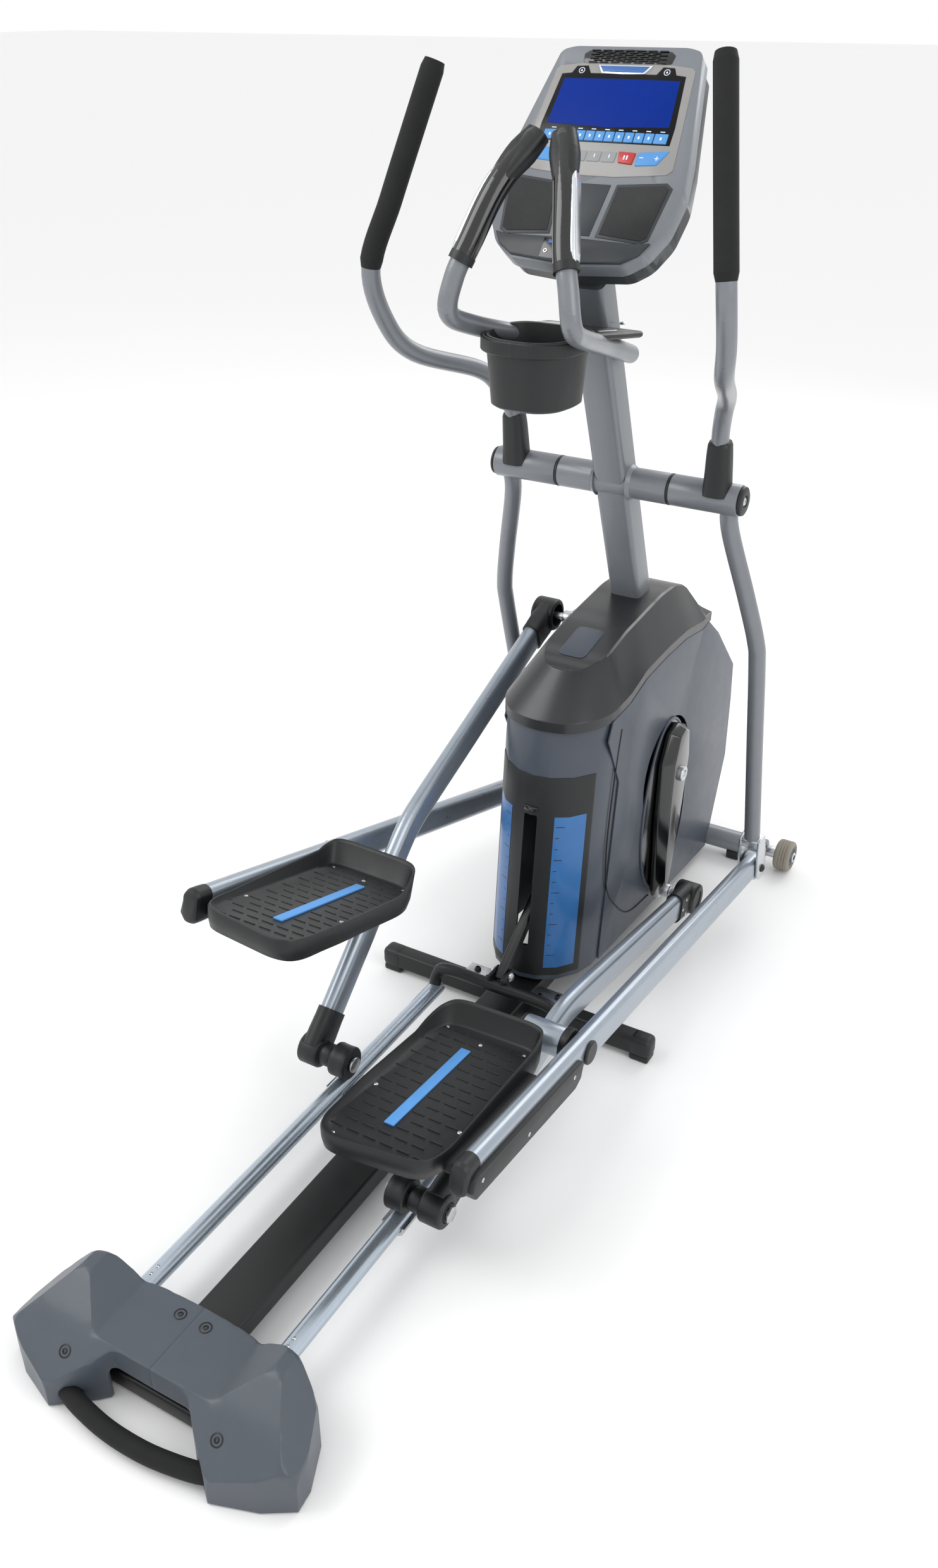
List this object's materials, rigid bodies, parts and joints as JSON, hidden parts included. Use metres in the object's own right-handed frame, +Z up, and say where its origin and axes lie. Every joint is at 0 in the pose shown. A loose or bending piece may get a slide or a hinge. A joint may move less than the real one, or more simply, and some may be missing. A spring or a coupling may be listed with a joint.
{
  "type": "elliptical trainer",
  "caption": "Rear-ramp elliptical trainer: swinging handles linked to gliding pedals on inclined rails, shrouded crank drive, mast console, fixed pulse bars and transport wheels",
  "frame": {"origin": "on the floor, at the middle of the length and width of the whole machine at rest", "axes": "+X to the right of a user standing on the pedals, +Y forward towards the console, +Z up"},
  "size_m": [0.648, 1.993, 1.7451],
  "materials": {
    "painted_grey": "satin grey paint",
    "satin_silver": "satin silver lacquer",
    "galvanised": "galvanised steel",
    "zinc": "zinc plated steel",
    "black_paint": "black powder coat",
    "black_plastic": "moulded black",
    "gloss_black": "glossy black",
    "blue_grey": "dark blue-grey",
    "charcoal": "charcoal",
    "console_grey": "grey",
    "foam": "black foam",
    "rubber": "tan grey tread",
    "key_blue": "pale blue keys",
    "key_red": "red key",
    "iron": "dark cast iron"
  },
  "bodies": {
    "frame": {"base_frame": "black_paint", "front_stabiliser": "painted_grey", "mid_crossbar": "black_paint", "mast": "painted_grey", "cross_axle": "satin_silver", "shroud_left": "blue_grey", "shroud_right": "blue_grey", "top_cap": "charcoal", "incline_panel": "black_plastic", "rear_cover_left": "blue_grey", "rear_cover_right": "blue_grey", "lift_handle": "foam", "console_shell": "console_grey", "console_back": "black_plastic", "display_glass": "gloss_black", "key_strip": "key_blue", "pulse_bar_left": "satin_silver", "pulse_bar_right": "satin_silver", "pulse_grip_left": "gloss_black", "pulse_grip_right": "gloss_black", "cup_holder": "black_plastic", "brake_magnet": "black_paint", "lift_motor": "black_paint"},
    "crank": {"drive_pulley": "iron", "crank_arm_left": "zinc", "crank_arm_right": "zinc"},
    "flywheel_body": {"flywheel": "iron"},
    "ramp": {"ramp_frame": "galvanised"},
    "lift": {"lift_link": "black_paint"},
    "stop_button": {"stop_key": "key_red"},
    "keeper_right": {"rail_keeper_right": "black_plastic"},
    "carriage_right": {"roller_axle_right": "zinc"},
    "roller_body_right": {"roller_right": "black_plastic"},
    "bush_right": {"roller_bush_right": "iron"},
    "arm_right": {"pedal_arm_right": "satin_silver", "pin_housing_right": "black_plastic", "roller_housing_right": "black_plastic"},
    "link_right": {"link_arm_right": "satin_silver", "pedal_tray_right": "black_plastic", "side_cover_right": "gloss_black"},
    "swing_inner_right": {"swing_bush_right": "black_plastic"},
    "swing_right": {"swing_arm_right": "painted_grey", "handle_tube_right": "painted_grey", "foam_grip_right": "foam"},
    "keeper_left": {"rail_keeper_left": "black_plastic"},
    "carriage_left": {"roller_axle_left": "zinc"},
    "roller_body_left": {"roller_left": "black_plastic"},
    "bush_left": {"roller_bush_left": "iron"},
    "arm_left": {"pedal_arm_left": "satin_silver", "pin_housing_left": "black_plastic", "roller_housing_left": "black_plastic"},
    "link_left": {"link_arm_left": "satin_silver", "pedal_tray_left": "black_plastic", "side_cover_left": "gloss_black"},
    "swing_inner_left": {"swing_bush_left": "black_plastic"},
    "swing_left": {"swing_arm_left": "painted_grey", "handle_tube_left": "painted_grey", "foam_grip_left": "foam"},
    "wheel_body_left": {"wheel_left": "rubber"},
    "wheel_body_right": {"wheel_right": "rubber"}
  },
  "joints": [
    {"name": "crank_turn", "type": "hinge", "parent": "frame", "child": "crank", "pos_m": [0, 0.6205, 0.377], "axis": [1, 0, 0], "range_deg": [-15, 15]},
    {"name": "flywheel_spin", "type": "hinge", "parent": "frame", "child": "flywheel_body", "pos_m": [0, 0.8375, 0.23], "axis": [1, 0, 0], "range_deg": [-110, 110]},
    {"name": "ramp_incline", "type": "hinge", "parent": "frame", "child": "ramp", "pos_m": [0, -0.8705, 0.064], "axis": [1, 0, 0], "range_deg": [0, 6]},
    {"name": "lift_turn", "type": "hinge", "parent": "ramp", "child": "lift", "pos_m": [0, 0.1145, 0.124], "axis": [1, 0, 0], "range_deg": [-6.5, 0.5]},
    {"name": "keeper_slide_right", "type": "slide", "parent": "ramp", "child": "keeper_right", "axis": [0, 1, 0], "range_m": [-0.08, 0.08]},
    {"name": "carriage_slide_right", "type": "slide", "parent": "keeper_right", "child": "carriage_right", "axis": [0, 1, 0], "range_m": [-0.035, 0.035]},
    {"name": "roller_spin_right", "type": "hinge", "parent": "carriage_right", "child": "roller_body_right", "pos_m": [0, -0.4573, 0.112], "axis": [1, 0, 0], "range_deg": [-140, 140]},
    {"name": "bush_turn_right", "type": "hinge", "parent": "carriage_right", "child": "bush_right", "pos_m": [0, -0.4573, 0.112], "axis": [1, 0, 0], "range_deg": [-11, 0.5]},
    {"name": "arm_turn_right", "type": "hinge", "parent": "bush_right", "child": "arm_right", "pos_m": [0, -0.4573, 0.112], "axis": [1, 0, 0], "range_deg": [-1.5, 1.5]},
    {"name": "link_turn_right", "type": "hinge", "parent": "arm_right", "child": "link_right", "pos_m": [0, -0.12847, 0.23793], "axis": [1, 0, 0], "range_deg": [-3, 3]},
    {"name": "swing_inner_turn_right", "type": "hinge", "parent": "frame", "child": "swing_inner_right", "pos_m": [0, 0.5295, 1.013], "axis": [1, 0, 0], "range_deg": [-3, 3]},
    {"name": "swing_turn_right", "type": "hinge", "parent": "swing_inner_right", "child": "swing_right", "pos_m": [0, 0.5295, 1.013], "axis": [1, 0, 0], "range_deg": [-6, 6]},
    {"name": "keeper_slide_left", "type": "slide", "parent": "ramp", "child": "keeper_left", "axis": [0, 1, 0], "range_m": [-0.08, 0.08]},
    {"name": "carriage_slide_left", "type": "slide", "parent": "keeper_left", "child": "carriage_left", "axis": [0, 1, 0], "range_m": [-0.035, 0.035]},
    {"name": "roller_spin_left", "type": "hinge", "parent": "carriage_left", "child": "roller_body_left", "pos_m": [0, -0.24263, 0.112], "axis": [1, 0, 0], "range_deg": [-140, 140]},
    {"name": "bush_turn_left", "type": "hinge", "parent": "carriage_left", "child": "bush_left", "pos_m": [0, -0.24263, 0.112], "axis": [1, 0, 0], "range_deg": [-11, 0.5]},
    {"name": "arm_turn_left", "type": "hinge", "parent": "bush_left", "child": "arm_left", "pos_m": [0, -0.24263, 0.112], "axis": [1, 0, 0], "range_deg": [-1.5, 1.5]},
    {"name": "link_turn_left", "type": "hinge", "parent": "arm_left", "child": "link_left", "pos_m": [0, -0.03138, 0.3937], "axis": [1, 0, 0], "range_deg": [-3, 3]},
    {"name": "swing_inner_turn_left", "type": "hinge", "parent": "frame", "child": "swing_inner_left", "pos_m": [0, 0.5295, 1.013], "axis": [1, 0, 0], "range_deg": [-3, 3]},
    {"name": "swing_turn_left", "type": "hinge", "parent": "swing_inner_left", "child": "swing_left", "pos_m": [0, 0.5295, 1.013], "axis": [1, 0, 0], "range_deg": [-6, 6]},
    {"name": "wheel_spin_left", "type": "hinge", "parent": "frame", "child": "wheel_body_left", "pos_m": [0, 0.9455, 0.04], "axis": [1, 0, 0], "continuous": true},
    {"name": "wheel_spin_right", "type": "hinge", "parent": "frame", "child": "wheel_body_right", "pos_m": [0, 0.9455, 0.04], "axis": [1, 0, 0], "continuous": true},
    {"name": "stop_press", "type": "slide", "parent": "frame", "child": "stop_button", "axis": [0, 0.8, -0.6], "range_m": [0, 0.0022], "stiffness_N_per_m": 400}
  ],
  "couplings": [
    {"joint": "flywheel_spin", "follows": "crank_turn", "ratio": 6.8182},
    {"joint": "lift_turn", "follows": "ramp_incline", "ratio": -1},
    {"joint": "keeper_slide_right", "follows": "crank_turn", "m_per_rad": 0.2747},
    {"joint": "carriage_slide_right", "follows": "ramp_incline", "m_per_rad": 0.0829},
    {"joint": "roller_spin_right", "follows": "crank_turn", "ratio": -8.6384},
    {"joint": "bush_turn_right", "follows": "ramp_incline", "ratio": -1.3386},
    {"joint": "arm_turn_right", "follows": "crank_turn", "ratio": -0.0426},
    {"joint": "link_turn_right", "follows": "crank_turn", "ratio": 0.1196},
    {"joint": "swing_inner_turn_right", "follows": "ramp_incline", "ratio": 0.019},
    {"joint": "swing_turn_right", "follows": "crank_turn", "ratio": 0.3261},
    {"joint": "keeper_slide_left", "follows": "crank_turn", "m_per_rad": -0.2455},
    {"joint": "carriage_slide_left", "follows": "ramp_incline", "m_per_rad": -0.2766},
    {"joint": "roller_spin_left", "follows": "crank_turn", "ratio": 7.7201},
    {"joint": "bush_turn_left", "follows": "ramp_incline", "ratio": -1.6657},
    {"joint": "arm_turn_left", "follows": "crank_turn", "ratio": 0.0511},
    {"joint": "link_turn_left", "follows": "crank_turn", "ratio": -0.1497},
    {"joint": "swing_inner_turn_left", "follows": "ramp_incline", "ratio": -0.4016},
    {"joint": "swing_turn_left", "follows": "crank_turn", "ratio": -0.3274}
  ]
}
